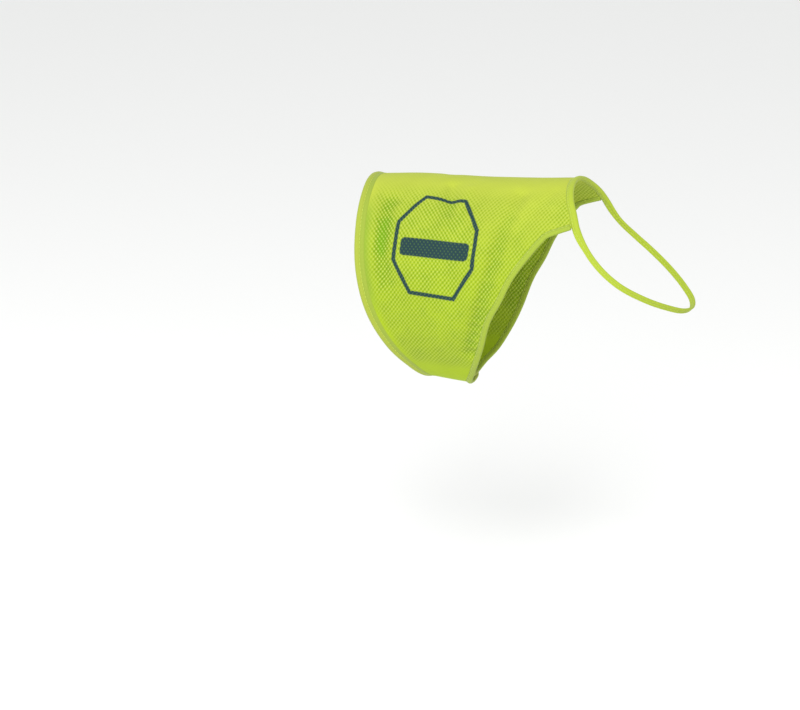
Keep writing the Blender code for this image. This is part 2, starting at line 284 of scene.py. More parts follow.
def edgeCurve(name, girth):
    # chart points on an edge of the cut, rounded where the lap ends
    rows = cut[name]
    if rows[0][0] == 0.0:
        rows = ((-rows[1][0], rows[1][1]), *rows)
    along = smoothCurve([row[0] for row in rows], [row[1] for row in rows], np.abs(girth))
    into = np.clip(np.abs(girth) - (lapEnd - cut["lapCorner"]), 0.0, cut["lapCorner"])
    taken = cut["lapCorner"] - np.sqrt(cut["lapCorner"] ** 2 - into ** 2)
    return np.stack([along + np.sign(cut["lapAlong"] - along) * taken, girth], axis=-1)


def fineGirths(first, last, count=900):
    # closer together toward the last
    return first + (last - first) * np.sin(np.linspace(0.0, math.pi / 2.0, count))


def onSide(chart, side):
    return chart * np.array([1.0, side])


def spaced(path, step=None, count=None, bendWeight=10.0, shortest=1e-6):
    # points along a fine path, closer where it bends, with inward directions and lengths walked
    lengths = np.linalg.norm(np.diff(path, axis=0), axis=1)
    path = path[np.append(lengths > shortest, True)]
    steps = np.diff(path, axis=0)
    lengths = np.linalg.norm(steps, axis=1)
    headings = np.unwrap(np.arctan2(steps[:, 1], steps[:, 0]))
    turns = np.abs(np.diff(headings, prepend=headings[0]))
    weighed = np.concatenate([[0.0], np.cumsum(lengths + bendWeight * turns)])
    walked = np.concatenate([[0.0], np.cumsum(lengths)])
    count = count or max(1, round(weighed[-1] / step))
    even = np.linspace(0.0, weighed[-1], count + 1)
    points = np.stack([np.interp(even, weighed, path[:, axis]) for axis in (0, 1)], axis=-1)
    heading = np.interp(even, 0.5 * (weighed[1:] + weighed[:-1]), headings)
    inward = np.stack([-np.sin(heading), np.cos(heading)], axis=-1)
    return points, inward, np.interp(even, weighed, walked)


chartUnit = 100.0  # mm, the UV map holds the chart in decimetres
fullTurn = 2.0 * math.pi

# The mesh is drawn at its real spacing, but its loops twice as coarse as the real yarn's, or
# they wouldn't show. Lengths are in mm.
meshKnit = {
    "dotAcross": 3.4,        # between holes in a row
    "dotDown": 4.4,          # between rows that line up, with a shifted row halfway
    "lean": 0.3,             # how much of the net leans into slanting rows
    "loopAcross": 1.1,       # the yarn's own loops
    "loopDown": 0.95,
    "groove": 0.4,           # share of the grooves beside the loops' tops
    "waves": 16.0,           # how far apart the rows wander, and how far they do
    "wander": 1.1,
    "patches": 11.0,         # unevenness of the holes, and its share
    "patchy": 0.7,
    "fuzz": 0.4,             # the yarn's fibres
    "clouds": 28.0,          # unevenness of the dye
    "cloudTone": 0.12,       # how much lighter and darker each makes the colour
    "fuzzTone": 0.14,
    "loopTone": 0.07,
    "shadedFlank": (35.0, 125.0),       # girth over which painted shade turns the smooth colour darker and greener toward the lower flank
    "yarn": "#8fa124",
    "knot": "#aabb56",
    # deep and heart: painted shade in the troughs of the creases, heart the darkest
    "deep": "#789614",
    "hole": "#64880e",
    "smooth": "#abb73c",
    # painted shade: the smooth cloth low on the flank
    "smoothShadedLow": "#9db51a",
    # painted shade on the smooth strip beside the hem
    "shadeBesideHem": "#849e30",
    "heart": "#629408",
    "holeEdge": (0.05, 0.8),         # part of the pattern's swing over which a hole deepens
    "knotEdge": (-0.1, -0.85),
    # slack spans over which the painted trough shade sets in, and the share of its darkest tint
    "troughShadeSlack": (0.5, 1.25),        # slack over which the net darkens
    "heartShadeSlack": (1.0, 1.5),
    "heartShadeShare": 0.45,
    "bump": 0.5,             # mm high, shared between dots, fibres and loops
    "bumpStrength": 0.55,
    "bumpShares": (-0.5, 0.2, 0.12),
}

# The print on each flank: an eight-sided outline with a plain rounded bar, in chart mm.
sign = {
    "corners": ((-39.3, 33.3), (-2.0, 36.3), (13.7, 64.4), (13.2, 97.9),
                (-3.2, 125.2), (-43.2, 121.8), (-59.8, 93.3), (-58.9, 59.8)),
    "line": 3.2,             # mm wide
    "barCentre": (-23.0, 82.5),
    "barSize": (60.0, 15.0, 3.5),    # length, height, corner radius
    "barTilt": 2.5,          # degrees
    "softEdge": 0.5,         # mm on either side
    "ragged": (0.28, 0.6),   # mm by which the net and the fibres move the edge
    "wavy": 0.5,             # share of the rows' wander that it follows
    "ink": "#1f383c",
    "inkWorn": "#426038",
    "wornEdge": (0.1, 0.95),         # part of the pattern's swing over which the ink thins
    "wornShare": 0.75,
}


def newMaterial(name):
    material = bpy.data.materials.new(name)
    material.use_nodes = True
    return material, material.node_tree, material.node_tree.nodes["Principled BSDF"]


def chartCoordinates(tree):
    # the UV map, and the chart's along and girth in mm
    uv = addNode(tree, "ShaderNodeUVMap", uv_map="chart")
    split = addNode(tree, "ShaderNodeSeparateXYZ", (uv,))
    along = addNode(tree, "ShaderNodeMath", (split.outputs["X"], chartUnit), operation="MULTIPLY")
    girth = addNode(tree, "ShaderNodeMath", (split.outputs["Y"], chartUnit), operation="MULTIPLY")
    return uv, along, girth


def wave(tree, distance, pitch, start=0.0):
    # +1 once every pitch along the distance, -1 halfway between; start is in pitches
    angle = addNode(tree, "ShaderNodeMath", (distance, fullTurn / pitch, -fullTurn * start),
                    operation="MULTIPLY_ADD")
    return addNode(tree, "ShaderNodeMath", (angle,), operation="COSINE")


def reliefBump(tree, parts, setup):
    # heights added up by their shares
    height = 0.0
    for part, share in zip(parts, setup["bumpShares"]):
        height = addNode(tree, "ShaderNodeMath", (part, share, height), operation="MULTIPLY_ADD")
    return addNode(tree, "ShaderNodeBump", {
        "Strength": setup["bumpStrength"], "Distance": setup["bump"] * mm, "Height": height})


def knitDots(tree, along, girth, setup):
    # +1 at each hole of the staggered net, -1 at each knot between them;
    # where the net is pulled on the bias the holes join into slanting rows, by the attribute lean
    down = addNode(tree, "ShaderNodeMath", (girth, setup["dotAcross"] / setup["dotDown"]),
                   operation="MULTIPLY")
    rising = addNode(tree, "ShaderNodeMath", (along, down), operation="ADD")
    falling = addNode(tree, "ShaderNodeMath", (along, down), operation="SUBTRACT")
    lean = addNode(tree, "ShaderNodeAttribute", attribute_name="lean").outputs["Fac"]
    share = addNode(tree, "ShaderNodeMath", (lean, setup["lean"] / 2.0, 0.5), operation="MULTIPLY_ADD")
    return addNode(tree, "ShaderNodeMix", (share, wave(tree, falling, setup["dotAcross"]),
                                           wave(tree, rising, setup["dotAcross"])))


def yarnLoops(tree, along, girth, setup):
    # rows of small chevrons: near +1 on top of a loop, near -1 in the grooves
    zigzag = addNode(tree, "ShaderNodeMath", (along, setup["loopAcross"] / 2.0), operation="PINGPONG")
    course = addNode(tree, "ShaderNodeMath", (girth, zigzag), operation="ADD")
    groove = wave(tree, along, setup["loopAcross"], start=0.5)
    return addNode(tree, "ShaderNodeMix", (setup["groove"], wave(tree, course, setup["loopDown"]), groove))


def signDistance(tree, along, girth):
    # mm from the printed lines, negative inside them, the same on both flanks
    side = addNode(tree, "ShaderNodeMath", (girth,), operation="ABSOLUTE")
    point = addNode(tree, "ShaderNodeCombineXYZ", (along, side, 1.0))
    corners = [np.array(corner) for corner in sign["corners"]]
    farthest = None
    for start, end in zip(corners, corners[1:] + corners[:1]):
        ahead = (end - start) / np.linalg.norm(end - start)
        out = np.array([ahead[1], -ahead[0]])
        reach = addNode(tree, "ShaderNodeVectorMath", (point, (*out, -(out @ start))),
                        operation="DOT_PRODUCT")
        if farthest is not None:
            reach = addNode(tree, "ShaderNodeMath", (farthest, reach), operation="MAXIMUM")
        farthest = reach
    halfLine = sign["line"] / 2.0
    inset = addNode(tree, "ShaderNodeMath", (farthest, halfLine), operation="ADD")
    inset = addNode(tree, "ShaderNodeMath", (inset,), operation="ABSOLUTE")
    outline = addNode(tree, "ShaderNodeMath", (inset, halfLine), operation="SUBTRACT")
    # the bar, centred and turned, is measured from the rectangle between its corners' centres
    length, height, corner = sign["barSize"]
    straight = (length / 2.0 - corner, height / 2.0 - corner, 0.0)
    bar = addNode(tree, "ShaderNodeMapping", {
        "Vector": point, "Location": (*sign["barCentre"], 1.0),
        "Rotation": (0.0, 0.0, math.radians(sign["barTilt"]))}, vector_type="TEXTURE")
    bar = addNode(tree, "ShaderNodeVectorMath", (bar,), operation="ABSOLUTE")
    bar = addNode(tree, "ShaderNodeVectorMath", (bar, straight), operation="SUBTRACT")
    bar = addNode(tree, "ShaderNodeVectorMath", (bar, (0.0, 0.0, 0.0)), operation="MAXIMUM")
    bar = addNode(tree, "ShaderNodeVectorMath", (bar,), operation="LENGTH")
    bar = addNode(tree, "ShaderNodeMath", (bar, corner), operation="SUBTRACT")
    return addNode(tree, "ShaderNodeMath", (outline, bar), operation="MINIMUM")


def printedColor(tree, base, along, girth, dots, stretch, fiber):
    # ink sits on the knots and misses part of the holes, with a soft, slightly wavy edge
    byNet, byFiber = sign["ragged"]
    edge = sign["softEdge"]
    ragged = addNode(tree, "ShaderNodeMath", (fiber, byFiber), operation="SUBTRACT")
    ragged = addNode(tree, "ShaderNodeMath", (dots, byNet, ragged), operation="MULTIPLY_ADD")
    wavy = addNode(tree, "ShaderNodeMath", (stretch, sign["wavy"], along), operation="MULTIPLY_ADD")
    distance = addNode(tree, "ShaderNodeMath", (signDistance(tree, wavy, girth), ragged), operation="ADD")
    inked = addNode(tree, "ShaderNodeMapRange", (distance, -edge, edge, 1.0, 0.0),
                    interpolation_type="SMOOTHSTEP")
    worn = addNode(tree, "ShaderNodeMapRange", (dots, *sign["wornEdge"], 0.0, sign["wornShare"]),
                   interpolation_type="SMOOTHSTEP")
    ink = addNode(tree, "ShaderNodeMix", (worn, hexColor(sign["ink"]), hexColor(sign["inkWorn"])),
                  data_type="RGBA")
    return addNode(tree, "ShaderNodeMix", (inked, base, ink), data_type="RGBA")


def meshKnitMaterial(setup, name, printed):
    # polyester bird's-eye mesh knit: matt, rows of small holes between raised knots
    material, tree, shader = newMaterial(name)
    uv, along, girth = chartCoordinates(tree)
    wander, patchy, cloud, fiber = (
        addNode(tree, "ShaderNodeTexNoise", (uv, chartUnit / setup[size], detail), noise_dimensions="2D")
        for size, detail in (("waves", 2.0), ("patches", 2.0), ("clouds", 2.0), ("fuzz", 3.0)))
    stretch = addNode(tree, "ShaderNodeMath", (wander, 2.0 * setup["wander"], -setup["wander"]),
                      operation="MULTIPLY_ADD")
    stretched = addNode(tree, "ShaderNodeMath", (along, stretch), operation="ADD")
    dots = knitDots(tree, stretched, girth, setup)
    loops = yarnLoops(tree, stretched, girth, setup)
    # how open the net is: about 0 where it is pulled flat, 1 in the troughs; the darkening it brings there
    # is partly the open net and partly painted shade
    slack = addNode(tree, "ShaderNodeAttribute", attribute_name="slack").outputs["Fac"]
    patchy = addNode(tree, "ShaderNodeMath", (patchy, setup["patchy"], 1.0 - setup["patchy"] / 2.0),
                     operation="MULTIPLY_ADD")
    slack = addNode(tree, "ShaderNodeMath", (slack, patchy), operation="MULTIPLY")
    # the band beside the hem that gets painted shade
    hemShade = addNode(tree, "ShaderNodeAttribute", attribute_name="hemShade").outputs["Fac"]
    side = addNode(tree, "ShaderNodeMath", (girth,), operation="ABSOLUTE")
    low, deep, knots, holes, heart = (
        addNode(tree, "ShaderNodeMapRange", span, interpolation_type="SMOOTHSTEP") for span in (
            (side, *setup["shadedFlank"]),
            (slack, *setup["troughShadeSlack"]),
            (dots, *setup["knotEdge"], 0.0, slack),
            (dots, *setup["holeEdge"], 0.0, slack),
            (slack, *setup["heartShadeSlack"], 0.0, setup["heartShadeShare"]),
        ))
    # each colour lies over the ones before it; the low-flank, beside-hem, deep and heart tints are painted
    # shade, the last at the heart of a wide-open trough
    color = hexColor(setup["smooth"])
    for share, tint in ((low, "smoothShadedLow"), (hemShade, "shadeBesideHem"), (slack, "yarn"), (deep, "deep"),
                        (knots, "knot"), (holes, "hole"), (heart, "heart")):
        color = addNode(tree, "ShaderNodeMix", (share, color, hexColor(setup[tint])), data_type="RGBA")
    if printed:
        color = printedColor(tree, color, along, girth, dots, stretch, fiber)
    clouded, fuzzy = (
        addNode(tree, "ShaderNodeMath", (noise, setup[share], 1.0 - setup[share] / 2.0),
                operation="MULTIPLY_ADD")
        for noise, share in ((cloud, "cloudTone"), (fiber, "fuzzTone")))
    tone = addNode(tree, "ShaderNodeMath", (clouded, fuzzy), operation="MULTIPLY")
    tone = addNode(tree, "ShaderNodeMath", (loops, setup["loopTone"], tone), operation="MULTIPLY_ADD")
    opened = addNode(tree, "ShaderNodeMath", (dots, slack), operation="MULTIPLY")
    feed(tree, shader, {
        "Base Color": addNode(tree, "ShaderNodeHueSaturation", {"Value": tone, "Color": color}),
        "Roughness": 0.82, "Specular IOR Level": 0.15, "Sheen Weight": 0.05, "Sheen Roughness": 0.5,
        "Normal": reliefBump(tree, (opened, fiber, loops), setup),
    })
    return material


knitMaterial = meshKnitMaterial(meshKnit, "printed polyester mesh knit", True)
insideMaterial = meshKnitMaterial(meshKnit, "plain polyester mesh knit", False)
print("mesh knit materials")


def linkPiece(name, mesh, material):
    mesh.materials.append(material)
    mesh.polygons.foreach_set("use_smooth", [True] * len(mesh.polygons))
    piece = bpy.data.objects.new(name, mesh)
    bpy.context.scene.collection.objects.link(piece)
    return piece


def gridMesh(name, net, chart, wrapRows=False, wrapColumns=False):
    # quads over net[row, column]; the chart is kept as the UV map
    rows, columns = net.shape[:2]
    lastRow = rows if wrapRows else rows - 1
    lastColumn = columns if wrapColumns else columns - 1
    row, column = np.meshgrid(np.arange(lastRow), np.arange(lastColumn), indexing="ij")
    nextRow, nextColumn = (row + 1) % rows, (column + 1) % columns
    corners = [(row, column), (nextRow, column), (nextRow, nextColumn), (row, nextColumn)]
    faces = np.stack([r * columns + c for r, c in corners], axis=-1).reshape(-1, 4)
    mesh = bpy.data.meshes.new(name)
    mesh.from_pydata((net.reshape(-1, 3) * mm).tolist(), [], faces.tolist())
    layer = mesh.uv_layers.new(name="chart")
    # a wrapped cell reads the chart one step past the end, so no pattern runs backward in it
    rowUp = np.where(row + 1 >= rows, 1, 0)
    columnUp = np.where(column + 1 >= columns, 1, 0)
    places = []
    for (r, c), dr, dc in zip(corners, (0, 1, 1, 0), (0, 0, 1, 1)):
        value = chart[r, c].copy()
        if wrapRows:
            value = value + (dr * rowUp)[..., None] * (2.0 * chart[-1, c] - chart[-2, c] - chart[0, c])
        if wrapColumns:
            value = value + (dc * columnUp)[..., None] * (2.0 * chart[r, -1] - chart[r, -2] - chart[r, 0])
        places.append(value)
    uvs = np.stack(places, axis=-2).reshape(-1, 2) / chartUnit
    layer.data.foreach_set("uv", uvs.ravel())
    return mesh


def bake(piece):
    # the modifiers' result becomes the plain mesh
    graph = bpy.context.evaluated_depsgraph_get()
    result = bpy.data.meshes.new_from_object(piece.evaluated_get(graph))
    piece.modifiers.clear()
    piece.data = result
    return piece


def outwardNormals(mesh):
    form = bmesh.new()
    form.from_mesh(mesh)
    bmesh.ops.recalc_face_normals(form, faces=form.faces)
    form.to_mesh(mesh)
    form.free()


# One sheet, in rows of cells from the hem to the neckline and armholes. Its places and lengths
# are in chart mm.
panel = {
    "columns": 104, "neckRows": 32, "flankRows": 128,
    "thickness": 0.8,
    # the crease over the sign takes up some net there, so the print dips into it
    "takenUp": {"centre": (-20.0, 35.0), "reach": (9.0, 12.0), "pull": 0.8},
    # painted shade on the smooth strip beside the hem, on the flank
    "hemShadeStrip": {"distance": 8.0, "reach": 6.0, "from": (28.0, 60.0), "to": (150.0, 112.0)},
    # where the net's rows turn from slanting down toward the head to slanting up
    "rowsTurn": {"girth": (62.0, 112.0), "along": (-4.0, 16.0)},
    # how open the net is, 0 to about 1.5: more with each mm down in a crease, and at the spots; the more
    # open, the more painted shade the troughs get
    "open": 0.57,
    "openPerDepth": 0.1,
    "openDepths": (-1.0, 3.0),
    "openSpots": (
        # the rear trough's heart: more open net and more painted shade
        {"centre": (-70.2, 73.0), "reach": (5.0, 17.0), "more": 0.7},      # heart of the rear trough
        {"centre": (-22.0, 78.0), "reach": (32.0, 42.0), "more": 0.16},    # round the sign
    ),
    # less where it is pulled flat: the least share, where it has that, and where it is free
    "flatSpine": (0.12, 14.0, 44.0),
    "flatHem": (0.1, 7.0, 17.0),
    "flatBelly": (0.05, 202.0, 188.0),
    "flatShoulder": {"centre": (46.0, 36.0), "reach": (26.0, 32.0), "less": 0.45},
}


def chartLengths(path):
    return np.concatenate([[0.0], np.cumsum(np.linalg.norm(np.diff(path, axis=0), axis=1))])


def spot(along, side, centre, reach):
    # 1 at the centre, fading out over the reach
    return np.exp(-((along - centre[0]) / reach[0]) ** 2 - ((side - centre[1]) / reach[1]) ** 2)


def pulledChart(chart, pull):
    along, girth = chart[..., 0], chart[..., 1]
    near = spot(along, girth, pull["centre"], pull["reach"])
    return np.stack([along, girth - pull["pull"] * near], axis=-1)


def hemDistance(along, side):
    rows = cut["hem"]
    return along - smoothCurve([row[0] for row in rows], [row[1] for row in rows], side)


# painted shade: a band at a set distance inside the hem, over the middle of the flank
def netHemShade(along, girth):
    side = np.abs(girth)
    strip = panel["hemShadeStrip"]
    flank = smoothStep(*strip["from"], side) * smoothStep(*strip["to"], side)
    return flank * np.exp(-((hemDistance(along, side) - strip["distance"]) / strip["reach"]) ** 2)


def pulledFlat(least, flat, free, distance):
    return least + (1.0 - least) * smoothStep(flat, free, distance)


def netSlack(along, girth):
    side = np.abs(girth)
    # deeper in a crease: more open net and more painted shade
    deep = sum(-creaseHeight(crease, along, girth) for crease in creases)
    slack = panel["open"] + panel["openPerDepth"] * np.clip(deep, *panel["openDepths"])
    for place in panel["openSpots"]:
        slack = slack + place["more"] * spot(along, side, place["centre"], place["reach"])
    shoulder = panel["flatShoulder"]
    slack = slack * (1.0 - shoulder["less"] * spot(along, side, shoulder["centre"], shoulder["reach"]))
    slack = slack * pulledFlat(*panel["flatSpine"], side) * pulledFlat(*panel["flatBelly"], side)
    return slack * pulledFlat(*panel["flatHem"], hemDistance(along, side))


def netLean(along, girth):
    # -1 where the rows slant down toward the head on the right flank, +1 where they slant up
    turn = panel["rowsTurn"]
    upward = np.maximum(smoothStep(*turn["girth"], np.abs(girth)), smoothStep(*turn["along"], along))
    return np.sign(girth) * (2.0 * upward - 1.0)


def makePanel(setup):
    back = np.linspace(0.0, neckCorner, setup["neckRows"] + 1)
    flank = fineGirths(neckCorner, lapEnd)
    hem, front = (
        np.vstack([edgeCurve(top, back), spaced(edgeCurve(low, flank), count=setup["flankRows"])[0][1:]])
        for top, low in (("hem", "hem"), ("neck", "armhole")))
    hem, front = (np.vstack([onSide(edge[:0:-1], -1), edge]) for edge in (hem, front))
    across = np.linspace(0.0, 1.0, setup["columns"] + 1)[None, :, None]
    chart = hem[:, None, :] * (1.0 - across) + front[:, None, :] * across
    flatChart = chart.reshape(-1, 2)
    net = clothMiddle(flatChart[:, 0], flatChart[:, 1]).reshape(*chart.shape[:2], 3)
    mesh = gridMesh("panel", net, pulledChart(chart, setup["takenUp"]))
    for name, values in (("slack", netSlack), ("lean", netLean), ("hemShade", netHemShade)):
        layer = mesh.attributes.new(name, "FLOAT", "POINT")
        layer.data.foreach_set("value", values(flatChart[:, 0], flatChart[:, 1]))
    piece = linkPiece("panel", mesh, knitMaterial)
    mesh.materials.append(insideMaterial)
    wall = piece.modifiers.new("wall", "SOLIDIFY")
    wall.thickness = setup["thickness"] * mm
    wall.offset = 0.0
    wall.material_offset = 1
    wall.material_offset_rim = 1
    bake(piece)
    # flat cut: cells of the chart summed
    sides = np.diff(chart, axis=0)[:, :-1], np.diff(chart, axis=1)[:-1, :]
    area = np.abs(sides[0][..., 0] * sides[1][..., 1] - sides[0][..., 1] * sides[1][..., 0]).sum()
    size = flatChart.max(axis=0) - flatChart.min(axis=0)
    return piece, (size[0] * mm, size[1] * mm), area * mm * mm


panelPiece, panelFlat, panelArea = makePanel(panel)
print("main panel", [round(side, 3) for side in panelFlat], "m, cut", round(panelArea, 4), "m2")

# Stitches and their thread, in mm; each stitch has few faces, as there are hundreds.
sewing = {
    "pitch": 3.6, "length": 3.0, "thread": 0.5, "proud": 0.25, "sides": 8, "rings": 7,
    "twist": 0.4, "dark": "#98ae2c", "light": "#c0cf60", "roughness": 0.55,
    "inset": slice(2, -2),   # seams start and end just inside the ends of the tapes
}

# What all tapes have in common, in mm.
tapeKnit = {
    "rib": 0.9,              # as coarse as it needs to be to show, along with its loops and fibres
    "loop": 1.44,
    "loopShare": 0.35,
    "fuzz": 0.8,
    "ribShade": 0.25,        # how far each mixes the colour with the shade
    "fuzzShade": 0.3,
    "bump": 0.2,
    "bumpShares": (0.5, 0.4, 0.6),   # of the ribs, the fibres and the gathers at the stitches
    "groove": 0.37,          # height in the stitched groove, as a share of the thickness
    "strapGroove": 0.7,      # the same on the strap, and how high its stitches lie
    "strapStitch": 0.76,
}

# Bound edges, in mm: a tape's finished width, the step between its sections, how thick it lies on
# either face, how far its fold stands past the cut edge, and how far in its seam is sewn.
hemTape = {
    "width": 7.5, "step": 1.6, "thick": 1.9, "fold": 1.3, "seam": 3.4,
    "color": "#a0ad3e", "shade": "#8c9924", "bumpStrength": 0.35,
    # the flat part inside the seam, painted darker as shade: where it ends, and the whole way round the tape
    "flat": "#879c30", "flatShare": 0.7, "flatEdge": (3.6, 4.6), "around": 18.4,
}
armholeTape = {
    "width": 4.0, "step": 1.5, "thick": 1.75, "fold": 1.3, "seam": 2.9,
    "gap": 0.3,              # left free at either end, beside the other tapes
    "color": "#9bac39", "shade": "#80971f", "bumpStrength": 0.35,
}
neckTape = {
    "width": 5.3, "step": 1.5, "thick": 1.85, "fold": 1.3, "seam": 3.6,
    "strapThick": 1.15, "strapStep": 1.5, "strapWidth": 3.9,
    "turn": 70.0,            # distance over which the strap turns to face the neck's axis
    "close": (1.5, 14.0),    # where it closes up past the neckline, and where it narrows
    "narrow": (6.0, 24.0),
    "neckAxis": (0.72, 0.0, 0.69),
    # places in the frame's axes, from the neckline's corner to the middle of the chest
    "line": ((108.5, -53.0, -40.0), (122.0, -57.0, -53.5), (134.0, -57.0, -63.0),
             (156.0, -46.5, -77.5), (171.2, -32.4, -86.8), (181.6, -17.6, -93.1), (185.4, 0.0, -95.4)),
    "color": "#a9b934", "shade": "#879c1c", "bumpStrength": 0.4,
}


def tapeMaterial(name, setup):
    # polyester knit binding tape: smooth, fine ribs along its length, a little lighter than the mesh;
    # its chart runs along the tape and around its folded outline
    material, tree, shader = newMaterial(name)
    uv, along, around = chartCoordinates(tree)
    loop = wave(tree, along, tapeKnit["loop"], start=0.25)
    loop = addNode(tree, "ShaderNodeMath", (loop, tapeKnit["loopShare"], 1.0 - tapeKnit["loopShare"]),
                   operation="MULTIPLY_ADD")
    grain = addNode(tree, "ShaderNodeMath", (wave(tree, around, tapeKnit["rib"], start=0.25), loop),
                    operation="MULTIPLY")
    fiber = addNode(tree, "ShaderNodeTexNoise", (uv, chartUnit / tapeKnit["fuzz"], 3.0),
                    noise_dimensions="2D")
    dark = addNode(tree, "ShaderNodeMath", (grain, -tapeKnit["ribShade"], tapeKnit["ribShade"]),
                   operation="MULTIPLY_ADD")
    dark = addNode(tree, "ShaderNodeMath", (fiber, tapeKnit["fuzzShade"], dark), operation="MULTIPLY_ADD")
    color = addNode(tree, "ShaderNodeMix", (dark, hexColor(setup["color"]), hexColor(setup["shade"])),
                    data_type="RGBA")
    if "flat" in setup:
        # the flat part inside the seam is painted darker as shade, on both faces of the tape
        back = addNode(tree, "ShaderNodeMath", (setup["around"], around), operation="SUBTRACT")
        inside = addNode(tree, "ShaderNodeMath", (around, back), operation="MINIMUM")
        flat = addNode(tree, "ShaderNodeMapRange", (inside, *setup["flatEdge"], setup["flatShare"], 0.0),
                       interpolation_type="SMOOTHSTEP")
        color = addNode(tree, "ShaderNodeMix", (flat, color, hexColor(setup["flat"])), data_type="RGBA")
    gather = wave(tree, along, sewing["pitch"])
    feed(tree, shader, {
        "Base Color": color, "Roughness": 0.75, "Specular IOR Level": 0.3, "Sheen Weight": 0.1,
        "Normal": reliefBump(tree, (grain, fiber, gather), {**tapeKnit, **setup}),
    })
    return material


def threadMaterial():
    # spun polyester sewing thread: twisted plies, slight gloss
    material, tree, shader = newMaterial("spun polyester thread")
    place = addNode(tree, "ShaderNodeTexCoord").outputs["Object"]
    twist = addNode(tree, "ShaderNodeTexNoise", (place, 1.0 / (sewing["twist"] * mm), 1.0))
    color = addNode(tree, "ShaderNodeMix", (twist, hexColor(sewing["dark"]), hexColor(sewing["light"])),
                    data_type="RGBA")
    feed(tree, shader, {"Base Color": color, "Roughness": sewing["roughness"]})
    return material


def boundProfile(setup):
    # (depth inward from the cut edge, raised off the cloth), from the inner edge to the fold:
    # a flat inner part, the stitched groove and the rounded rim
    width, thick, fold, seam = setup["width"], setup["thick"], setup["fold"], setup["seam"]
    middle = (width + seam) / 2.0
    upper = [
        (width, 0.1 * thick), (width + 0.05, 0.2 * thick), (width - 0.8, 0.33 * thick),
        (middle, 0.4 * thick), (seam + 0.4, 0.42 * thick), (seam, tapeKnit["groove"] * thick),
        (seam - 0.4, 0.56 * thick), (0.66 * seam, 0.86 * thick), (0.3 * seam, thick),
        (-0.3 * fold, 0.86 * thick), (-0.8 * fold, 0.52 * thick), (-fold, 0.0),
    ]
    return np.array(upper + [(depth, -raised) for depth, raised in upper[-2::-1]])


def strapProfile(setup):
    # the same outline closed up on itself, two soft ridges with the stitching between them
    width, thick, fold = setup["width"], setup["strapThick"], setup["fold"]
    groove = (width - fold) / 2.0
    upper = [
        (width, 0.42 * thick), (width + 0.02, 0.76 * thick), (width - 0.35, 0.95 * thick),
        (width - 1.0, thick), (groove + 1.2, 0.96 * thick), (groove + 0.5, 0.82 * thick),
        (groove, tapeKnit["strapGroove"] * thick), (groove - 0.5, 0.82 * thick),
        (groove - 1.3, 0.97 * thick),
        (-0.3 * fold, 0.98 * thick), (-0.8 * fold, 0.68 * thick), (-fold, 0.0),
    ]
    return np.array(upper + [(depth, -raised) for depth, raised in upper[-2::-1]])


def tubeNet(points, inward, profile):
    # sections of a tape folded over the panel's edge
    return np.stack([clothPoint(points + inward * depth, raised)[0] for depth, raised in profile], axis=1)


def tapeTube(name, net, walked, profile, material, closed=False):
    chart = np.stack(np.meshgrid(walked, chartLengths(profile), indexing="ij"), axis=-1)
    mesh = gridMesh(name, net, chart, wrapRows=closed, wrapColumns=True)
    if not closed:
        form = bmesh.new()
        form.from_mesh(mesh)
        form.verts.ensure_lookup_table()
        columns = net.shape[1]
        for first in (0, (net.shape[0] - 1) * columns):
            form.faces.new([form.verts[first + place] for place in range(columns)])
        form.to_mesh(mesh)
        form.free()
    outwardNormals(mesh)
    return linkPiece(name, mesh, material)


def hemPath():
    # from one armhole tape round the belly end, the whole hem and the other belly end
    lap = edgeCurve("armhole", fineGirths(tapeJoint, lapEnd))
    hem = edgeCurve("hem", fineGirths(0.0, lapEnd))
    half = np.vstack([lap, hem[::-1]])
    return np.vstack([half, onSide(half[::-1], -1)[1:]])


def armholePath(count=900):
    # from just clear of the neck tape to just clear of the hem's
    path = edgeCurve("armhole", np.linspace(neckCorner, tapeJoint - armholeTape["gap"], count))
    return path[np.linalg.norm(path - path[0], axis=1) > neckTape["width"] + armholeTape["gap"]]


def strapLine(before, corner):
    # the strap's right half, a smooth curve that goes on from the neckline
    rows = [np.array(row) for row in neckTape["line"]]
    beyond = rows[-2] * np.array([1.0, -1.0, 1.0])
    through = np.array([before, corner, *rows, beyond])
    knots = chartLengths(through)
    start, end = knots[1], knots[-2]
    at = np.linspace(start, end, round((end - start) / neckTape["strapStep"]) + 1)
    line = np.stack([smoothCurve(knots, through[:, axis], at) for axis in range(3)], axis=-1)
    return line, at - start


def strapFrames(setup, count=300, before=9):
    # the bound neckline on the chart, then the strap with its inward and outward directions
    neckline = edgeCurve("neck", np.linspace(0.0, neckCorner, count))
    points, inward, walked = spaced(neckline, step=setup["step"])
    edge, _ = clothPoint(points)
    deep, _ = clothPoint(points + inward)
    line, strapWalked = strapLine(edge[-before], edge[-1])
    ahead = unit(np.gradient(line, strapWalked, axis=0))
    ahead[-1] = (0.0, 1.0, 0.0)
    turn = smoothStep(0.0, setup["turn"], strapWalked)[:, None]
    inner = (1.0 - turn) * unit(deep - edge)[-1] - turn * np.array(setup["neckAxis"])
    inner = unit(inner - ahead * (inner * ahead).sum(axis=1)[:, None])
    return points, inward, walked, line, strapWalked, inner, np.cross(inner, ahead)


def strapPlace(line, inner, outward, depth, raised):
    return line + inner * np.broadcast_to(depth, len(line))[:, None] \
        + outward * np.broadcast_to(raised, len(line))[:, None]


def narrowedDepth(setup, depth, walked):
    # the strap is narrower than the bound neckline
    less = 1.0 - setup["strapWidth"] / setup["width"]
    return np.where(depth > 0.0, depth * (1.0 - less * smoothStep(*setup["narrow"], walked)), depth)


def bothHalves(half):
    # right half from the spine to the chest, then the left one back
    half = half.copy()
    half[0, ..., 1] = 0.0
    half[-1, ..., 1] = 0.0
    other = half[1:-1] * np.array([1.0, -1.0, 1.0])
    return np.concatenate([half, other[::-1]])


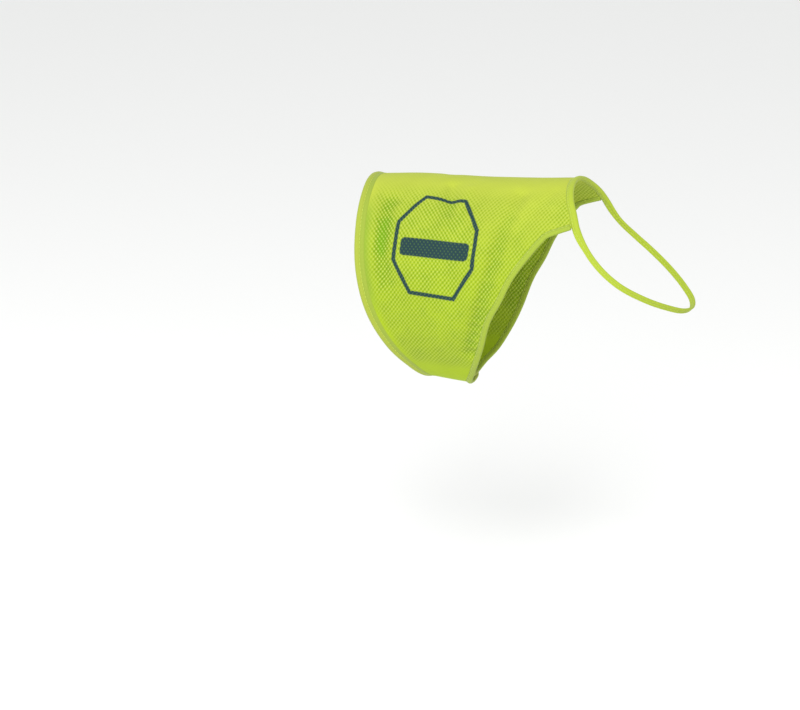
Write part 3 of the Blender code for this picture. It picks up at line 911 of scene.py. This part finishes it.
def makeNeckTape(setup):
    points, inward, walked, line, strapWalked, inner, outward = strapFrames(setup)
    bound, strap = boundProfile(setup), strapProfile(setup)
    over = tubeNet(points, inward, bound)
    closing = smoothStep(*setup["close"], strapWalked)[:, None]
    shape = bound[None] * (1.0 - closing[..., None]) + strap[None] * closing[..., None]
    shape[..., 0] = narrowedDepth(setup, shape[..., 0], strapWalked[:, None])
    free = np.stack([strapPlace(line, inner, outward, shape[:, place, 0], shape[:, place, 1])
                     for place in range(len(bound))], axis=1)
    net = bothHalves(np.vstack([over, free[1:]]))
    half = np.concatenate([walked, walked[-1] + strapWalked[1:]])
    around = np.concatenate([half, 2.0 * half[-1] - half[-2:0:-1]])
    piece = tapeTube("neckBinding", net, around, bound, tapeMaterial("folded knit strap", setup),
                     closed=True)
    return piece, 2.0 * half[-1]


tapePieces = {}
hemPoints, hemInward, hemWalked = spaced(hemPath(), step=hemTape["step"])
tapePieces["hem_binding"] = tapeTube(
    "hemBinding", tubeNet(hemPoints, hemInward, boundProfile(hemTape)), hemWalked,
    boundProfile(hemTape), tapeMaterial("polyester knit hem binding", hemTape))
armPoints, armInward, armWalked = spaced(armholePath(), step=armholeTape["step"])
armholeMaterial = tapeMaterial("polyester knit binding", armholeTape)
for side, word in ((1, "Right"), (-1, "Left")):
    net = tubeNet(onSide(armPoints, side), onSide(armInward, side), boundProfile(armholeTape))
    tapePieces["armhole_binding_" + word.lower()] = tapeTube(
        "armholeBinding" + word, net, armWalked, boundProfile(armholeTape), armholeMaterial)
tapePieces["neck_tape"], neckLength = makeNeckTape(neckTape)
print("tapes: hem", round(hemWalked[-1]), "mm, armhole", round(armWalked[-1]), "mm, neck loop",
      round(neckLength), "mm")

# The two halves of the hook-and-loop closure between the lapped belly ends, in mm.
patch = {
    "length": 23.0, "width": 17.0, "thick": 1.0, "raised": 1.45, "corner": 2.5, "leastCorner": 0.6,
    "cells": (34, 26),
    "softEdge": 0.25, "softAngle": 50.0,     # the angle in degrees
    "seamInset": 1.4,
    "curl": 0.8, "fuzz": 0.45, "curlShade": 1.1, "pile": "#9aae34", "betweenCurls": "#7a9220",
    "hookRow": 1.3, "hookGap": 1.0, "hookEdge": (0.1, 0.7), "hooks": "#b0c850", "hookBase": "#84a026",
}


def pileMaterial():
    # brushed nylon loop pile: dull, fuzzy, small curls
    material, tree, shader = newMaterial("brushed nylon loop pile")
    uv, _, _ = chartCoordinates(tree)
    curls = addNode(tree, "ShaderNodeTexVoronoi", (uv, chartUnit / patch["curl"]), voronoi_dimensions="2D")
    fuzz = addNode(tree, "ShaderNodeTexNoise", (uv, chartUnit / patch["fuzz"], 4.0), noise_dimensions="2D")
    dark = addNode(tree, "ShaderNodeMath", (curls, patch["curlShade"]), operation="MULTIPLY", use_clamp=True)
    color = addNode(tree, "ShaderNodeMix", (dark, hexColor(patch["pile"]), hexColor(patch["betweenCurls"])),
                    data_type="RGBA")
    height = addNode(tree, "ShaderNodeMath", (fuzz, curls), operation="SUBTRACT")
    bump = addNode(tree, "ShaderNodeBump", {"Strength": 0.8, "Distance": 0.4 * mm, "Height": height})
    feed(tree, shader, {"Base Color": color, "Roughness": 0.95, "Sheen Weight": 0.3, "Normal": bump})
    return material


def hookMaterial():
    # nylon hook tape: stiff, slightly glossy, hooks in straight rows
    material, tree, shader = newMaterial("nylon hook tape")
    _, along, girth = chartCoordinates(tree)
    rows = wave(tree, along, patch["hookRow"], start=0.25)
    files = wave(tree, girth, patch["hookGap"], start=0.25)
    hooks = addNode(tree, "ShaderNodeMath", (rows, files), operation="MULTIPLY")
    hooks = addNode(tree, "ShaderNodeMapRange", (hooks, *patch["hookEdge"]), interpolation_type="SMOOTHSTEP")
    color = addNode(tree, "ShaderNodeMix", (hooks, hexColor(patch["hookBase"]), hexColor(patch["hooks"])),
                    data_type="RGBA")
    bump = addNode(tree, "ShaderNodeBump", {"Strength": 0.9, "Distance": 0.5 * mm, "Height": hooks})
    feed(tree, shader, {"Base Color": color, "Roughness": 0.5, "Normal": bump})
    return material


def roundedChart(setup, inset=0.0):
    # grid over a rectangle with round corners, about the lap's middle
    length, width = setup["length"] / 2.0 - inset, setup["width"] / 2.0 - inset
    corner = max(setup["leastCorner"], setup["corner"] - inset)
    u, v = np.meshgrid(np.linspace(-1.0, 1.0, setup["cells"][1] + 1),
                       np.linspace(-1.0, 1.0, setup["cells"][0] + 1))
    across, around = u * width, v * length
    into = np.clip(np.abs(around) - (length - corner), 0.0, corner)
    side = width - corner + np.sqrt(np.maximum(corner ** 2 - into ** 2, 0.0))
    across = across * side / width
    return np.stack([across + cut["lapAlong"], around + lapEnd - cut["lapHalf"]], axis=-1)


def makePatch(name, side, material):
    chart = roundedChart(patch)
    flat = onSide(chart.reshape(-1, 2), side)
    points, _ = clothPoint(flat, -side * patch["raised"])
    net = points.reshape(*chart.shape[:2], 3)
    mesh = gridMesh(name, net, flat.reshape(chart.shape))
    piece = linkPiece(name, mesh, material)
    wall = piece.modifiers.new("wall", "SOLIDIFY")
    wall.thickness = patch["thick"] * mm
    wall.offset = 0.0
    soft = piece.modifiers.new("soft edge", "BEVEL")
    soft.width = patch["softEdge"] * mm
    soft.segments = 2
    soft.limit_method = "ANGLE"
    soft.angle_limit = math.radians(patch["softAngle"])
    bake(piece)
    outwardNormals(piece.data)
    return piece


loopPatch = makePatch("loopPatch", -1, pileMaterial())
hookPatch = makePatch("hookPatch", 1, hookMaterial())
print("closure patches")


def stitchTree(material):
    # stitches along an edge path: one small rounded thread at each step, turned along the path
    tree = bpy.data.node_groups.new("stitch row", "GeometryNodeTree")
    face = tree.interface
    face.new_socket("Geometry", in_out="INPUT", socket_type="NodeSocketGeometry")
    for name in ("Pitch", "Stitch length", "Thread width"):
        face.new_socket(name, in_out="INPUT", socket_type="NodeSocketFloat")
    face.new_socket("Geometry", in_out="OUTPUT", socket_type="NodeSocketGeometry")
    start = addNode(tree, "NodeGroupInput").outputs
    curve = addNode(tree, "GeometryNodeMeshToCurve", (start["Geometry"],))
    even = addNode(tree, "GeometryNodeResampleCurve", {"Curve": curve, "Length": start["Pitch"]},
                   mode="LENGTH")
    turn = addNode(tree, "FunctionNodeAlignRotationToVector",
                   {"Vector": addNode(tree, "GeometryNodeInputTangent")}, axis="Z")
    ball = addNode(tree, "GeometryNodeMeshUVSphere", (sewing["sides"], sewing["rings"], 0.5))
    size = addNode(tree, "ShaderNodeCombineXYZ",
                   (start["Thread width"], start["Thread width"], start["Stitch length"]))
    thread = addNode(tree, "GeometryNodeTransform", {"Geometry": ball, "Scale": size})
    rows = addNode(tree, "GeometryNodeInstanceOnPoints",
                   {"Points": even, "Instance": thread, "Rotation": turn})
    real = addNode(tree, "GeometryNodeRealizeInstances", (rows,))
    smooth = addNode(tree, "GeometryNodeSetShadeSmooth", (real,))
    dyed = addNode(tree, "GeometryNodeSetMaterial", {"Geometry": smooth, "Material": material})
    addNode(tree, "NodeGroupOutput", (dyed,))
    return tree


def sewRows(name, paths, tree):
    points, edges = [], []
    for path in paths:
        first = len(points)
        points.extend((path * mm).tolist())
        edges.extend((first + place, first + place + 1) for place in range(len(path) - 1))
    mesh = bpy.data.meshes.new(name)
    mesh.from_pydata(points, edges, [])
    piece = bpy.data.objects.new(name, mesh)
    bpy.context.scene.collection.objects.link(piece)
    rows = piece.modifiers.new("stitches", "NODES")
    rows.node_group = tree
    given = {"Pitch": sewing["pitch"] * mm, "Stitch length": sewing["length"] * mm,
             "Thread width": sewing["thread"] * mm}
    for item in tree.interface.items_tree:
        if item.in_out == "INPUT" and item.name in given:
            rows[item.identifier] = given[item.name]
    bpy.context.view_layer.update()
    bake(piece)
    return piece


def seamHeight(setup):
    # the thread lies half sunk in the stitched groove
    return tapeKnit["groove"] * setup["thick"] + sewing["proud"] * sewing["thread"]


def onBothFaces(points, inward, depth, raised):
    return [clothPoint(points + inward * depth, side * raised)[0] for side in (1.0, -1.0)]


def neckStitchPaths(setup):
    # in the middle of the tape's face, closing up with the strap
    points, inward, _, line, strapWalked, inner, outward = strapFrames(setup)
    closing = smoothStep(*setup["close"], strapWalked)
    groove = (setup["width"] - setup["fold"]) / 2.0
    depth = narrowedDepth(setup, setup["seam"] * (1.0 - closing) + groove * closing, strapWalked)
    strapHeight = tapeKnit["strapStitch"] * setup["strapThick"]
    raised = seamHeight(setup) * (1.0 - closing) + strapHeight * closing
    paths = []
    for side, over in zip((1.0, -1.0), onBothFaces(points, inward, setup["seam"], seamHeight(setup))):
        free = strapPlace(line, inner, outward, depth, side * raised)
        paths.append(bothHalves(np.vstack([over, free[1:]])))
    return paths


def patchStitchPaths(side):
    chart = roundedChart(patch, inset=patch["seamInset"])
    border = np.vstack([chart[0, :], chart[1:, -1], chart[-1, -2::-1], chart[-2::-1, 0]])
    border = onSide(border, side)
    reach = patch["raised"] + patch["thick"] / 2.0
    return [clothPoint(border, -side * reach)[0], clothPoint(border, side * panel["thickness"] / 2.0)[0]]


stitches = stitchTree(threadMaterial())
inset = sewing["inset"]
sewn = [
    sewRows("hemStitches", onBothFaces(hemPoints[inset], hemInward[inset], hemTape["seam"],
                                       seamHeight(hemTape)), stitches),
    sewRows("neckStitches", neckStitchPaths(neckTape), stitches),
    sewRows("patchStitches", patchStitchPaths(1) + patchStitchPaths(-1), stitches),
]
for side, word in ((1, "Right"), (-1, "Left")):
    paths = onBothFaces(onSide(armPoints[inset], side), onSide(armInward[inset], side),
                        armholeTape["seam"], seamHeight(armholeTape))
    sewn.append(sewRows("armholeStitches" + word, paths, stitches))
print("stitches", sum(len(piece.data.polygons) for piece in sewn), "faces")

# Pale floor and soft light; places and sizes in metres, powers in watts.
studio = {
    "floor": -0.44, "floorSize": 8.0, "paper": "#fafaf9",
    "key": {"place": (0.3, -1.9, 1.5), "size": 1.2, "power": 46.0},
    "fill": {"place": (-1.5, -1.6, 1.0), "size": 1.2, "power": 8.0},
    "aim": (0.0, 0.0, -0.06),
    "world": 0.86, "sky": "#f7f8f8",
}


def makeFloor(setup):
    # matt white paper, so that the shadow stays soft and pale
    mesh = bpy.data.meshes.new("floor")
    form = bmesh.new()
    bmesh.ops.create_grid(form, x_segments=1, y_segments=1, size=setup["floorSize"] / 2.0)
    for vertex in form.verts:
        vertex.co.z = setup["floor"]
    form.to_mesh(mesh)
    form.free()
    material, tree, shader = newMaterial("pale paper")
    feed(tree, shader, {"Base Color": hexColor(setup["paper"]), "Roughness": 0.9})
    mesh.materials.append(material)
    floor = bpy.data.objects.new("floor", mesh)
    bpy.context.scene.collection.objects.link(floor)
    return floor


def addSoftLight(name, setup, aim):
    data = bpy.data.lights.new(name, "AREA")
    data.shape = "DISK"
    data.size = setup["size"]
    data.energy = setup["power"]
    light = bpy.data.objects.new(name, data)
    light.location = setup["place"]
    light.rotation_euler = (Vector(aim) - light.location).to_track_quat("-Z", "Y").to_euler()
    bpy.context.scene.collection.objects.link(light)


def lightWorld(setup):
    world = bpy.data.worlds.new("studio")
    world.use_nodes = True
    feed(world.node_tree, world.node_tree.nodes["Background"],
         {"Color": hexColor(setup["sky"]), "Strength": setup["world"]})
    bpy.context.scene.world = world
    bpy.context.scene.view_settings.view_transform = "Standard"


makeFloor(studio)
for name in ("key", "fill"):
    addSoftLight(name + " light", studio[name], studio["aim"])
lightWorld(studio)
print("studio lit")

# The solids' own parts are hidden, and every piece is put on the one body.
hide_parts("main_panel")
for node, piece in tapePieces.items():
    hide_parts(node)
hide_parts("belly_loop_patch")
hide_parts("belly_hook_patch")
onPanel = [*tapePieces.values(), loopPatch, hookPatch, *sewn]
for piece in (panelPiece, *onPanel):
    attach(piece, "root")
